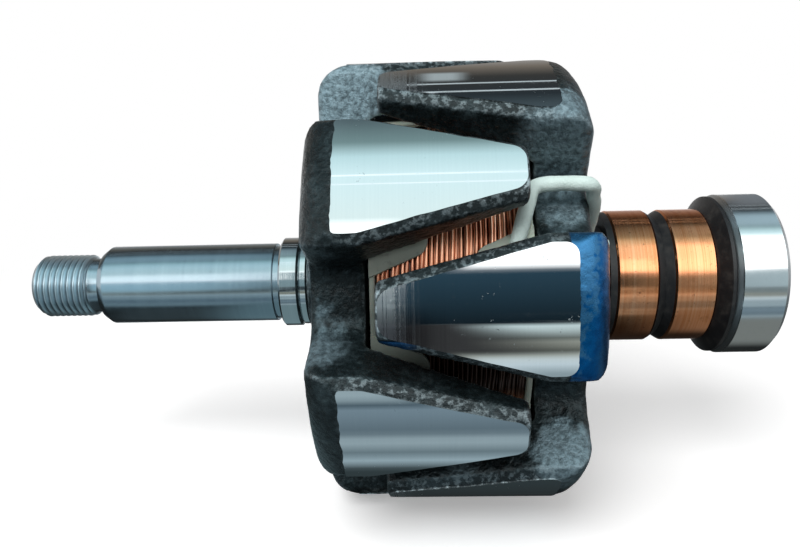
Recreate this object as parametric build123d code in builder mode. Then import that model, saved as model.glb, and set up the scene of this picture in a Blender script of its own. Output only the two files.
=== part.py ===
import math
import os

from build123d import *

# Alternator rotor lying with its shaft along X, the drive end at -X and the slip rings at +X.
# The origin is on the shaft axis, at the inner end of the ground drive seat.
# Angles about the shaft start at the front, -Y, and rise toward the top, +Z.

# Shaft, from the threaded drive end inward
thread_radius = 8.0
thread_pitch = 1.5
thread_depth = 0.9
thread_length = 14.3
thread_turns = 8
relief_length = 3.4
relief_radius = 7.0
seat_radius = 10.0
seat_length = 44.5
seat_lead_length = 1.7
seat_lead_rise = 1.2
undercut_width = 1.7
undercut_depth = 0.6
end_chamfer = 1.0
rear_step = 0.5
bearing_step = 1.0

# Spacer collar and staked washer beside the drive-end pole
collar_width = 4.95
collar_wall = 1.4
washer_width = 2.25
washer_wall = 1.0
ring_edge = 0.5

# Claw poles, measured from the middle of the pole pack
pole_half_length = 30.4
pole_radius = 54.0
disc_thickness = 12.4
corner_radius = 8.0
boss_length = 4.2
boss_wall = 3.5
finger_count = 6
finger_tip_room = 15.2
finger_root_half_angle = 15.7
finger_tip_half_angle = 6.5
finger_tip_round = 1.5
finger_root_thickness = 12.5
finger_tip_thickness = 5.5
finger_draft = 8.0
bevel_width = 1.9
bevel_drop = 1.6
valley_depth = 18.0
valley_fillet = 5.0
face_round = 3.0
drive_finger_angle = 39.5

# Field coil on its bobbin, round the core between the poles
core_wall = 12.0
bobbin_wall = 1.2
bobbin_play = 1.0
coil_room = 2.5
flange_rise = 0.6
petal_reach = 11.0
petal_root_half_width = 13.4
petal_tip_half_width = 8.2
petal_round = 2.0
petal_lift = 0.2

# Slip rings and their moulded hub
hub_neck_length = 3.5
hub_wall = 3.4
hub_flange_width = 1.6
ring_wall = 3.6
ring_proud = 0.3
ring_width = 9.8
ring_gap = 3.6
ring_gap_notch = 1.2
dust_collar_flare = 3.4
dust_collar_width = 2.9
dust_collar_rim = 0.8
dust_collar_nose_wall = 2.0
dust_collar_gap = 0.4

# Rear ball bearing, 17 x 40 x 12
bearing_width = 12.0
bearing_inner_wall = 3.5
bearing_ball_space = 4.6
bearing_outer_wall = 3.4
bearing_edge = 1.2
seal_width = 1.0
seal_recess = 0.5
seal_lip_gap = 0.1

# Sleeved winding leads
lead_radius = 1.2
lead_from_finger = 4.8
lead_start_from_finger = -9.7
lead_bend_radii = [4.0, 4.5, 3.0]
lead_over_coil = 2.3
lead_start_inset = 2.3
lead_over_valley = 2.7
lead_face_gap = 1.4

# Room left at push fits, and the extra length of a tool past the stock it trims
fit_room = 0.02
overrun = 5.0

# Places along the shaft
seat_start = -seat_length
thread_start = seat_start - relief_length
drive_end = thread_start - thread_length
collar_start = undercut_width
washer_start = collar_start + collar_width
boss_start = washer_start + washer_width
pole_centre = boss_start + boss_length + pole_half_length
boss_end = pole_centre + pole_half_length + boss_length
ring_start = boss_end + hub_neck_length + hub_flange_width
outer_ring_start = ring_start + ring_width + ring_gap
dust_collar_start = outer_ring_start + ring_width
bearing_start = dust_collar_start + dust_collar_width + dust_collar_gap
bearing_end = bearing_start + bearing_width
core_half_length = pole_half_length - disc_thickness
coil_half_length = core_half_length - bobbin_play - bobbin_wall
finger_reach = pole_half_length - finger_tip_room

# Radii that follow from the shaft and the poles
boss_radius = seat_radius + boss_wall
core_radius = seat_radius + core_wall
rear_radius = seat_radius - rear_step
hub_radius = rear_radius + hub_wall
ring_radius = hub_radius + ring_wall
hub_flange_radius = ring_radius - ring_proud
bearing_bore_radius = rear_radius - bearing_step
inner_land_radius = bearing_bore_radius + bearing_inner_wall
outer_land_radius = inner_land_radius + bearing_ball_space
bearing_radius = outer_land_radius + bearing_outer_wall
coil_radius = pole_radius - finger_root_thickness - coil_room
valley_radius = pole_radius - valley_depth
finger_root_half_width = pole_radius * math.sin(math.radians(finger_root_half_angle))
finger_tip_half_width = pole_radius * math.sin(math.radians(finger_tip_half_angle))
slip_finger_angle = drive_finger_angle - 180 / finger_count
lead_angle = drive_finger_angle + lead_from_finger
lead_start_angle = drive_finger_angle + lead_start_from_finger


def at(x, radius, angle):
    # The point at an axial place, a radius and an angle about the shaft
    turn = math.radians(angle)
    return (x, -radius * math.cos(turn), radius * math.sin(turn))


def facing_in(angle, radius):
    # A plane square to a radius, its own x along the shaft and its normal toward the axis
    inward = at(0, -1, angle)
    return Plane(origin=at(0, radius, angle), x_dir=(1, 0, 0), z_dir=inward)


def ring(start, end, bore, radius, edge=0):
    # A plain turned ring, its outer edges chamfered where an edge is given
    with BuildPart() as turned:
        with BuildSketch(Plane.XZ) as section:
            with BuildLine():
                Polyline((start, bore), (end, bore), (end, radius), (start, radius), close=True)
            make_face()
            if edge:
                chamfer(section.vertices().group_by(Axis.Y)[-1], edge)
        revolve(axis=Axis.X)
    return turned


def finish(piece, name):
    piece.part.label = name
    export_step(piece.part, f"parts/{name}.step")


os.makedirs("parts", exist_ok=True)

# Shaft: ringed thread, relief, ground seat, undercut, pole seat and bearing seat
with BuildPart() as shaft:
    with BuildSketch(Plane.XZ):
        with BuildLine():
            root_radius = thread_radius - thread_depth
            outline = [(drive_end, 0), (drive_end, root_radius)]
            for turn in range(thread_turns):
                crest = drive_end + end_chamfer + (turn + 0.5) * thread_pitch
                outline.append((crest, thread_radius))
                outline.append((crest + thread_pitch / 2, root_radius))
            outline += [
                (thread_start, relief_radius),
                (seat_start, relief_radius),
                (seat_start, seat_radius - seat_lead_rise),
                (seat_start + seat_lead_length, seat_radius),
                (0, seat_radius),
                (0, seat_radius - undercut_depth),
                (undercut_width, seat_radius - undercut_depth),
                (undercut_width, seat_radius),
                (boss_end, seat_radius),
                (boss_end, rear_radius),
                (bearing_start, rear_radius),
                (bearing_start, bearing_bore_radius),
                (bearing_end - end_chamfer, bearing_bore_radius),
                (bearing_end, bearing_bore_radius - end_chamfer),
                (bearing_end, 0),
            ]
            Polyline(*outline, close=True)
        make_face()
    revolve(axis=Axis.X)
finish(shaft, "shaft")

pole_seat = seat_radius + fit_room
collar = ring(collar_start, washer_start, pole_seat, seat_radius + collar_wall, ring_edge)
finish(collar, "drive_end_spacer_collar")
washer = ring(washer_start, boss_start, pole_seat, seat_radius + washer_wall, ring_edge)
finish(washer, "drive_end_washer")


def finger_section(half_width):
    # A finger's section as points across it and out along its radius: drafted sides, bevelled edges
    shoulder = half_width - bevel_width
    side_top = math.sqrt(pole_radius**2 - half_width**2) - bevel_drop
    crest = math.sqrt(pole_radius**2 - shoulder**2)
    foot_radius = valley_radius - overrun
    foot = half_width - (side_top - foot_radius) * math.tan(math.radians(finger_draft))
    right = [
        (foot, foot_radius),
        (half_width, side_top),
        (shoulder, crest),
        (shoulder, pole_radius + overrun),
    ]
    return right + [(-across, out) for across, out in reversed(right)]


def across_shaft(x, angle):
    # A plane across the shaft, its own y out along the radius at the angle
    sideways = at(0, 1, angle - 90)
    return Plane(origin=(x, 0, 0), x_dir=sideways, z_dir=(1, 0, 0))


def pole_outline(toward, first_angle):
    # What a pole keeps of its turned blank: a rounded star of lobes, and a tapered finger on each
    face = pole_centre - toward * pole_half_length
    inner_face = face + toward * disc_thickness
    tip = pole_centre + toward * finger_reach
    pitch = 360 / finger_count
    with BuildPart() as keep:
        with BuildSketch(across_shaft(min(face, inner_face), first_angle)) as star:
            Circle(valley_radius)
            for lobe in range(finger_count):
                with BuildLine(Plane.XY.rotated((0, 0, lobe * pitch))):
                    Polyline(*finger_section(finger_root_half_width), close=True)
                make_face()
            feet = star.vertices().filter_by(
                lambda corner: abs(corner.center().length - valley_radius) < fit_room
            )
            fillet(feet, valley_fillet)
        extrude(amount=disc_thickness)
        fillet(keep.faces().sort_by(Axis.X, reverse=toward < 0)[0].edges(), face_round)
    with BuildPart() as finger:
        for x, half_width in ((inner_face, finger_root_half_width), (tip, finger_tip_half_width)):
            with BuildSketch(across_shaft(x, first_angle)):
                with BuildLine():
                    Polyline(*finger_section(half_width), close=True)
                make_face()
        loft(ruled=True)
        end = finger.faces().sort_by(Axis.X, reverse=toward > 0)[0]
        fillet(end.edges(), finger_tip_round)
    return [keep.part, *(finger.part.rotate(Axis.X, turn * pitch) for turn in range(finger_count))]


def claw_pole(toward, first_angle):
    face = pole_centre - toward * pole_half_length
    inner_face = face + toward * disc_thickness
    tip = pole_centre + toward * finger_reach
    with BuildPart() as blank:
        with BuildSketch(Plane.XZ) as section:
            with BuildLine():
                Polyline(
                    (face, pole_seat),
                    (face, pole_radius),
                    (tip, pole_radius),
                    (tip, pole_radius - finger_tip_thickness),
                    (inner_face, pole_radius - finger_root_thickness),
                    (inner_face, pole_seat),
                    close=True,
                )
            make_face()
            rims = section.vertices().group_by(Axis.Y)[-1].sort_by(Axis.X, reverse=toward < 0)
            fillet(rims[0], corner_radius)
        revolve(axis=Axis.X)
    with BuildPart() as pole:
        for piece in pole_outline(toward, first_angle):
            add(piece)
        add(blank.part, mode=Mode.INTERSECT)
        with BuildSketch(Plane.YZ.offset(face)):
            Circle(boss_radius)
            Circle(pole_seat, mode=Mode.SUBTRACT)
        extrude(amount=-toward * boss_length)
    return pole


drive_pole = claw_pole(1, drive_finger_angle)
finish(drive_pole, "drive_end_claw_pole")
slip_pole = claw_pole(-1, slip_finger_angle)
finish(slip_pole, "slip_ring_end_claw_pole")

# Core between the pole discs, inside the coil
core = ring(pole_centre - core_half_length, pole_centre + core_half_length, pole_seat, core_radius)
finish(core, "pole_core")


def bobbin_half(toward, first_angle):
    # A flange with half of the bobbin's barrel, and a petal over the coil under each finger
    inner = pole_centre - toward * coil_half_length
    outer = inner - toward * bobbin_wall
    barrel = core_radius + fit_room
    petal_floor = coil_radius + petal_lift
    petal_tip = inner + toward * petal_reach
    with BuildPart() as petals:
        for petal in range(finger_count):
            plane = facing_in(first_angle + petal * 360 / finger_count, pole_radius)
            with BuildSketch(plane) as flat:
                with BuildLine():
                    Polyline(
                        (outer, -toward * petal_root_half_width),
                        (petal_tip, -toward * petal_tip_half_width),
                        (petal_tip, toward * petal_tip_half_width),
                        (outer, toward * petal_root_half_width),
                        close=True,
                    )
                make_face()
                tips = flat.vertices().sort_by(Axis.X, reverse=toward > 0)[0:2]
                fillet(tips, petal_round)
            extrude(amount=pole_radius - core_radius)
        with BuildSketch(Plane.XZ):
            with BuildLine():
                Polyline(
                    (outer, petal_floor),
                    (petal_tip, petal_floor),
                    (petal_tip, petal_floor + bobbin_wall),
                    (outer, petal_floor + bobbin_wall),
                    close=True,
                )
            make_face()
        revolve(axis=Axis.X, mode=Mode.INTERSECT)
    with BuildPart() as half:
        with BuildSketch(Plane.XZ):
            with BuildLine():
                Polyline(
                    (outer, barrel),
                    (pole_centre, barrel),
                    (pole_centre, barrel + bobbin_wall),
                    (inner, barrel + bobbin_wall),
                    (inner, coil_radius + flange_rise),
                    (outer, coil_radius + flange_rise),
                    close=True,
                )
            make_face()
        revolve(axis=Axis.X)
        add(petals.part)
    return half


drive_bobbin = bobbin_half(1, drive_finger_angle)
finish(drive_bobbin, "drive_end_bobbin_half")
slip_bobbin = bobbin_half(-1, slip_finger_angle)
finish(slip_bobbin, "slip_ring_end_bobbin_half")

coil = ring(
    pole_centre - coil_half_length + fit_room,
    pole_centre + coil_half_length - fit_room,
    core_radius + bobbin_wall + 2 * fit_room,
    coil_radius,
)
finish(coil, "field_coil")

# Moulded hub: a tube with a flange before the first ring and a notched land between the rings
with BuildPart() as hub:
    with BuildSketch(Plane.XZ):
        with BuildLine():
            bore = rear_radius + fit_room
            first_end = ring_start + ring_width
            Polyline(
                (boss_end, bore),
                (dust_collar_start, bore),
                (dust_collar_start, hub_radius),
                (outer_ring_start, hub_radius),
                (outer_ring_start, hub_flange_radius),
                (first_end + ring_gap / 2, hub_flange_radius - ring_gap_notch),
                (first_end, hub_flange_radius),
                (first_end, hub_radius),
                (ring_start, hub_radius),
                (ring_start, hub_flange_radius),
                (ring_start - hub_flange_width, hub_flange_radius),
                (ring_start - hub_flange_width, hub_radius),
                (boss_end, hub_radius),
                close=True,
            )
        make_face()
    revolve(axis=Axis.X)
finish(hub, "slip_ring_hub")

for start, name in ((ring_start, "inner_slip_ring"), (outer_ring_start, "outer_slip_ring")):
    slip_ring = ring(start, start + ring_width, hub_radius + fit_room, ring_radius, ring_edge)
    finish(slip_ring, name)

# Dust collar flaring from the rings to the bearing
with BuildPart() as dust_collar:
    with BuildSketch(Plane.XZ):
        with BuildLine():
            rim_end = dust_collar_start + dust_collar_width
            bore = rear_radius + fit_room
            nose_radius = rear_radius + dust_collar_nose_wall
            flare_radius = hub_flange_radius + dust_collar_flare
            Polyline(
                (dust_collar_start, bore),
                (dust_collar_start, hub_flange_radius),
                (rim_end - dust_collar_rim, flare_radius),
                (rim_end, flare_radius),
                (rim_end, nose_radius),
                (bearing_start, nose_radius),
                (bearing_start, bore),
                close=True,
            )
        make_face()
    revolve(axis=Axis.X)
finish(dust_collar, "dust_collar")

# Rear bearing: the inner ring turns with the shaft, the outer ring carries the seals
inner_race = ring(bearing_start, bearing_end, bearing_bore_radius + fit_room, inner_land_radius)
finish(inner_race, "bearing_inner_ring")
outer_race = ring(bearing_start, bearing_end, outer_land_radius, bearing_radius, bearing_edge)
finish(outer_race, "bearing_outer_ring")
seal_places = (
    (bearing_start + seal_recess, "bearing_inboard_seal"),
    (bearing_end - seal_recess - seal_width, "bearing_outboard_seal"),
)
for start, name in seal_places:
    lip = inner_land_radius + seal_lip_gap
    seal = ring(start, start + seal_width, lip, outer_land_radius - fit_room)
    finish(seal, name)

# Sleeved leads: from the coil over the flange, along the valley and down the pole face to the hub
flange_face = pole_centre + coil_half_length + bobbin_wall
pole_face = pole_centre + pole_half_length
lead_on_coil = coil_radius + lead_over_coil
lead_down = pole_face + lead_face_gap + lead_radius
lead_hub = boss_radius + lead_radius + lead_face_gap / 2
for turn, name in ((0, "front_lead_sleeve"), (180, "rear_lead_sleeve")):
    with BuildPart() as lead:
        with BuildLine():
            route = FilletPolyline(
                at(flange_face - lead_start_inset, lead_on_coil, lead_start_angle + turn),
                at(flange_face + lead_radius, lead_on_coil, lead_angle + turn),
                at(lead_down, valley_radius + lead_over_valley, lead_angle + turn),
                at(lead_down, lead_hub, lead_angle + turn),
                at(ring_start - hub_flange_width, lead_hub, lead_angle + turn),
                radius=lead_bend_radii,
            )
        with BuildSketch(Plane(origin=route @ 0, z_dir=route % 0)):
            Circle(lead_radius)
        sweep()
    finish(lead, name)
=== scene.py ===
import math

import bpy
import numpy as np
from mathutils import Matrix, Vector, noise


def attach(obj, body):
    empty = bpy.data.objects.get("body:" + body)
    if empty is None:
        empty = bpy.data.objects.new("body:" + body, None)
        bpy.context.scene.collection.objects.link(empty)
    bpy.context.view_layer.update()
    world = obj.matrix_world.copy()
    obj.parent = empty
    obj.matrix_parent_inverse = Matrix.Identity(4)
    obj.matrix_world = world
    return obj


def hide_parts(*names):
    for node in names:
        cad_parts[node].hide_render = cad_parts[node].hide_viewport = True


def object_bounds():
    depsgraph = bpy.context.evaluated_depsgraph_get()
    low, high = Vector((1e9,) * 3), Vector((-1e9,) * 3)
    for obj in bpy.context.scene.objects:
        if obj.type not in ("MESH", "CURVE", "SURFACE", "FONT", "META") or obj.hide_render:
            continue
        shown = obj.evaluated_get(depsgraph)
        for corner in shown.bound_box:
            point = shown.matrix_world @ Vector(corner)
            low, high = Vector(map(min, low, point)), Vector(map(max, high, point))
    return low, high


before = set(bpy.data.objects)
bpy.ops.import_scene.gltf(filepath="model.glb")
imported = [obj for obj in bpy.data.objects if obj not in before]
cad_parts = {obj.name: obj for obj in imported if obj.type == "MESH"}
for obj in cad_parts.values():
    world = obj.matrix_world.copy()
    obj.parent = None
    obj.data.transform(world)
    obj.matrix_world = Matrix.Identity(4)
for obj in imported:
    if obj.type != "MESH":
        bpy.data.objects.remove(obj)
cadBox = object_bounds()
mm = 0.001
for leftover in ("Cube", "Light", "Camera"):
    if leftover in bpy.data.objects:
        bpy.data.objects.remove(bpy.data.objects[leftover])
print("frame loaded with", len(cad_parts), "nodes")

# camera, a little above the shaft and close to the poles
camera = {
    "lens": 32.94,
    "place": (38.4, -181.8, 53.47),  # mm
    "turn": (74.074, 1.644, 1.704),  # degrees
    "nearest": 5.0,
}
eye = bpy.data.objects.new("eye", bpy.data.cameras.new("eye"))
eye.data.lens = camera["lens"]
eye.data.clip_start = camera["nearest"] * mm
eye.location = Vector(camera["place"]) * mm
eye.rotation_euler = [math.radians(angle) for angle in camera["turn"]]
bpy.context.scene.collection.objects.link(eye)
bpy.context.scene.camera = eye
print("camera set")


class Wire:
    # a shader value that takes plain arithmetic, one Math node for each step
    def __init__(self, sheet, socket):
        self.sheet = sheet
        self.socket = socket

    def math(self, operation, first, second):
        return self.sheet.node("ShaderNodeMath", {"operation": operation}, {0: first, 1: second})

    def __add__(self, other):
        return self.math("ADD", self, other)

    def __radd__(self, other):
        return self.math("ADD", other, self)

    def __sub__(self, other):
        return self.math("SUBTRACT", self, other)

    def __rsub__(self, other):
        return self.math("SUBTRACT", other, self)

    def __mul__(self, other):
        return self.math("MULTIPLY", self, other)

    def __rmul__(self, other):
        return self.math("MULTIPLY", other, self)

    def __abs__(self):
        return self.sheet.node("ShaderNodeMath", {"operation": "ABSOLUTE"}, {0: self})

    def most(self, other):
        return self.math("MAXIMUM", self, other)

    def step(self, low, high):
        # 0 below low, 1 above high, smooth between
        settings = {"interpolation_type": "SMOOTHSTEP"}
        sockets = {"Value": self, "From Min": low, "From Max": high}
        return self.sheet.node("ShaderNodeMapRange", settings, sockets)

    def within(self, rise, fall):
        # 1 from a rising edge to a falling edge; either may be None
        if fall is None:
            return self.step(*rise)
        if rise is None:
            return 1 - self.step(*fall)
        return self.step(*rise) * (1 - self.step(*fall))


class Finish:
    # one material, or the room round it, and the nodes that make it
    def __init__(self, name, room=None):
        self.material = room or bpy.data.materials.new(name)
        self.material.use_nodes = True
        self.tree = self.material.node_tree
        self.tree.nodes.clear()
        if room is None:
            self.findPlaces()

    def findPlaces(self):
        # millimetres along the shaft, out from it, and degrees round from the front up over the top
        coordinates = self.node("ShaderNodeTexCoord", out="Object")
        sockets = {0: coordinates, "Scale": 1 / mm}
        self.spot = self.node("ShaderNodeVectorMath", {"operation": "SCALE"}, sockets)
        self.x, self.y, self.z = [
            self.node("ShaderNodeSeparateXYZ", sockets={0: self.spot}, out=axis) for axis in "XYZ"
        ]
        settings = {"operation": "LENGTH"}
        self.radius = self.node("ShaderNodeVectorMath", settings, {0: self.stretched(0, 1)}, out="Value")
        turn = self.node("ShaderNodeMath", {"operation": "ARCTAN2"}, {0: self.z, 1: 0 - self.y})
        self.turn = turn * math.degrees(1)

    def node(self, kind, settings=None, sockets=None, out=0):
        made = self.tree.nodes.new(kind)
        for key, value in (settings or {}).items():
            if key == "stops":
                self.setStops(made.color_ramp, value)
            else:
                setattr(made, key, value)
        for key, value in (sockets or {}).items():
            if isinstance(value, Wire):
                self.tree.links.new(value.socket, made.inputs[key])
            else:
                made.inputs[key].default_value = value
        return Wire(self, made.outputs[out]) if made.outputs else None

    def setStops(self, ramp, stops):
        ends = (ramp.elements[0], ramp.elements[1])
        for element, (place, tint) in zip(ends, (stops[0], stops[-1])):
            element.position = place
            element.color = (*tint, 1)
        for place, tint in stops[1:-1]:
            ramp.elements.new(place).color = (*tint, 1)

    def stretched(self, along, across):
        # millimetres scaled along the shaft and across it, so that noise draws rings or streaks
        settings = {"operation": "MULTIPLY"}
        return self.node("ShaderNodeVectorMath", settings, {0: self.spot, 1: (along, across, across)})

    def farFrom(self, vector, place):
        settings = {"operation": "DISTANCE"}
        return self.node("ShaderNodeVectorMath", settings, {0: vector, 1: place}, out="Value")

    def grain(self, scale, detail=2.0, rough=0.5, vector=None):
        sockets = {"Vector": vector or self.spot, "Scale": scale, "Detail": detail, "Roughness": rough}
        return self.node("ShaderNodeTexNoise", {}, sockets)

    def ramp(self, value, places, tints):
        return self.node("ShaderNodeValToRGB", {"stops": list(zip(places, tints))}, {0: value})

    def blend(self, mask, under, over):
        sockets = {0: mask, 6: self.four(under), 7: self.four(over)}
        return self.node("ShaderNodeMix", {"data_type": "RGBA"}, sockets, out=2)

    def four(self, tint):
        return tint if isinstance(tint, Wire) else (*tint, 1)

    def bump(self, height, depth):
        return self.node("ShaderNodeBump", {}, {"Height": height, "Distance": depth * mm})

    def glow(self, tint, strength=1.0):
        return self.node("ShaderNodeEmission", {}, {"Color": self.four(tint), "Strength": strength})

    def seen(self):
        # 1 for what the camera sees, straight or in a mirror or through glass
        path = [
            self.node("ShaderNodeLightPath", out="Is " + kind + " Ray")
            for kind in ("Camera", "Glossy", "Transmission")
        ]
        return path[0].most(path[1]).most(path[2])

    def lay(self, **sockets):
        # a surface from its sockets, whose names are given with underscores
        named = {key.replace("_", " "): value for key, value in sockets.items()}
        return self.show(self.node("ShaderNodeBsdfPrincipled", {}, named))

    def show(self, shader, output="ShaderNodeOutputMaterial"):
        self.node(output, {}, {"Surface": shader})
        return self.material


def dress(node, material):
    piece = bpy.data.objects[node]
    piece.data.materials.clear()
    piece.data.materials.append(material)


def addPiece(name, mesh, material, node):
    piece = bpy.data.objects.new(name, mesh)
    bpy.context.scene.collection.objects.link(piece)
    mesh.materials.clear()
    mesh.materials.append(material)
    mesh.polygons.foreach_set("use_smooth", [True] * len(mesh.polygons))
    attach(piece, "rotor")
    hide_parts(node)
    return piece


def around(x, radius, turn):
    # a place at an angle round the shaft, from the front up over the top
    return (x, -radius * math.cos(turn), radius * math.sin(turn))


def ringOf(x, radius, sides):
    # a ring of points round the shaft; radius is one number, or one for each point
    turn = np.linspace(0, 2 * math.pi, sides, endpoint=False)
    return np.stack([np.full(sides, x), -radius * np.cos(turn), radius * np.sin(turn)], axis=1)


def hoops(count, sides, loop=False):
    # quads from each ring of points to the next, and in a loop from the last to the first
    faces = []
    for row in range(count if loop else count - 1):
        low = row * sides
        high = (row + 1) % count * sides
        for side in range(sides):
            following = (side + 1) % sides
            faces.append((low + side, low + following, high + following, high + side))
    return faces


def caps(count, sides):
    return [tuple(range(sides - 1, -1, -1)), tuple(range((count - 1) * sides, count * sides))]


def gridFaces(along, across):
    wide = across + 1
    lows = [row * wide + column for row in range(along) for column in range(across)]
    return [(low, low + 1, low + wide + 1, low + wide) for low in lows]


def gridRim(along, across):
    # the outer points of a grid, in order
    wide = across + 1
    rim = list(range(wide)) + [row * wide + across for row in range(1, along + 1)]
    rim += [along * wide + column for column in range(across - 1, -1, -1)]
    return rim + [row * wide for row in range(along - 1, 0, -1)]


def turned(faces, over):
    return [face[::-1] for face in faces] if over else faces


def cornerCut(past, corner):
    # half width lost to a round corner, this far past the start of its curve
    past = min(max(past, 0), corner)
    return corner - math.sqrt(corner * corner - past * past)


def tube(points, radii, sides, sideways=None):
    # a mesh tube along points; radii holds its half-height and half-width at each point
    points = np.asarray(points)
    run = np.gradient(points, axis=0)
    run /= np.linalg.norm(run, axis=1)[:, None]
    if sideways is None:
        sideways = np.cross(run, points * np.array([0, 1, 1]))
        sideways /= np.linalg.norm(sideways, axis=1)[:, None]
    upward = np.cross(sideways, run)
    turns = np.linspace(0, 2 * math.pi, sides, endpoint=False)
    radii = np.asarray(radii)
    rounds = points[:, None] + (
        upward[:, None] * (np.cos(turns)[None, :, None] * radii[:, 0, None, None])
        + sideways[:, None] * (np.sin(turns)[None, :, None] * radii[:, 1, None, None])
    )
    count = len(points)
    return rounds.reshape(-1, 3), hoops(count, sides) + caps(count, sides)


def meshOf(name, parts):
    # several point and face lists as one mesh
    points = []
    faces = []
    for spots, quads in parts:
        base = sum(len(group) for group in points)
        points.append(spots)
        faces += [tuple(base + corner for corner in quad) for quad in quads]
    mesh = bpy.data.meshes.new(name)
    mesh.from_pydata((np.vstack(points) * mm).tolist(), [], faces)
    mesh.update()
    return mesh


# claw poles: black forged skin, the outer face of each finger ground bright, one lobe brushed with blue
pole = {
    "voxel": 0.67,  # mm, size of the forging's mesh
    "ease": 4,  # rounds of smoothing
    "radius": 53.95,  # ground outside
    "under": 0.12,  # how far the forging stays below its ground faces
    "lump": 0.3,  # depth of the forging's waves
    "grit": 0.06,  # depth of its scale
    "centre": 43.5,
    "grid": (64, 28),  # quads along and across a ground face
    "rootFrom": 23.1,  # from the middle of the pack back to the end of the ground face
    "taperFrom": 18.0,
    "tipFrom": 14.5,
    "rootHalf": 12.75,  # half width of a ground face where its taper starts, and at its tip
    "tipHalf": 4.2,
    "tipCorner": 2.4,
    "rootCorner": {1: 0.8, -1: 2.4},  # drive end, slip ring end
    "wallDepth": 1.1,  # of the step round a ground face
    "fingers": 6,
    "skin": ((0.004, 0.0065, 0.007), (0.012, 0.02, 0.0225), (0.04, 0.06, 0.066)),
    "highlightTint": (0.3, 0.37, 0.4),
    "ridge": (0.51, 0.56),  # pointiness from plain to a painted highlight
    "rubbedAndGlint": (0.46, 0.54, 0.57),
    "rim": (51.75, 53.15),  # radii from plain to rubbed
    "rimReach": (18.5, 24.5),  # from the middle of the pack
    "frostAndSheen": (0.29, 0.42, 0.48),
    # spots painted pale as a sheen where light falls on the lobes, as place along the shaft, radius,
    # degrees round, size and strength
    "sheenSpots": (
        (19.0, 47.0, 83.0, 13.0, 1.0), (67.5, 48.5, -38.0, 9.0, 0.65), (68.0, 47.0, 53.0, 12.0, 0.45),
        (68.0, 42.0, 40.0, 9.0, 0.5), (15.5, 45.0, 6.0, 10.5, 0.5), (20.0, 46.0, -96.0, 12.0, 0.6),
        (67.0, 46.0, 172.0, 12.0, 0.6), (19.0, 46.0, 140.0, 11.0, 0.5), (68.0, 46.0, 232.0, 11.0, 0.5),
        (66.5, 48.0, -19.0, 2.4, 0.7), (21.5, 52.5, -41.0, 7.5, 0.8),
        (67.5, 51.5, 58.5, 5.5, 0.75), (66.5, 50.0, 44.0, 6.0, 0.35),
    ),
    "blue": ((0.001, 0.05, 0.165), (0.002, 0.09, 0.27), (0.012, 0.15, 0.37)),
    "thinLitBlue": (0.07, 0.2, 0.33),
    "blueLobe": 9.5,  # degrees round from the front
    "blueHalf": 16.5,
    "blueStart": 66.3,
    "blueRadius": (45.0, 46.5),
    # blue left under that finger's tip: degrees, half width, end along the shaft, radii
    "smear": (2.8, 1.3, 38.0, (49.0, 50.5)),
}


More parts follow.
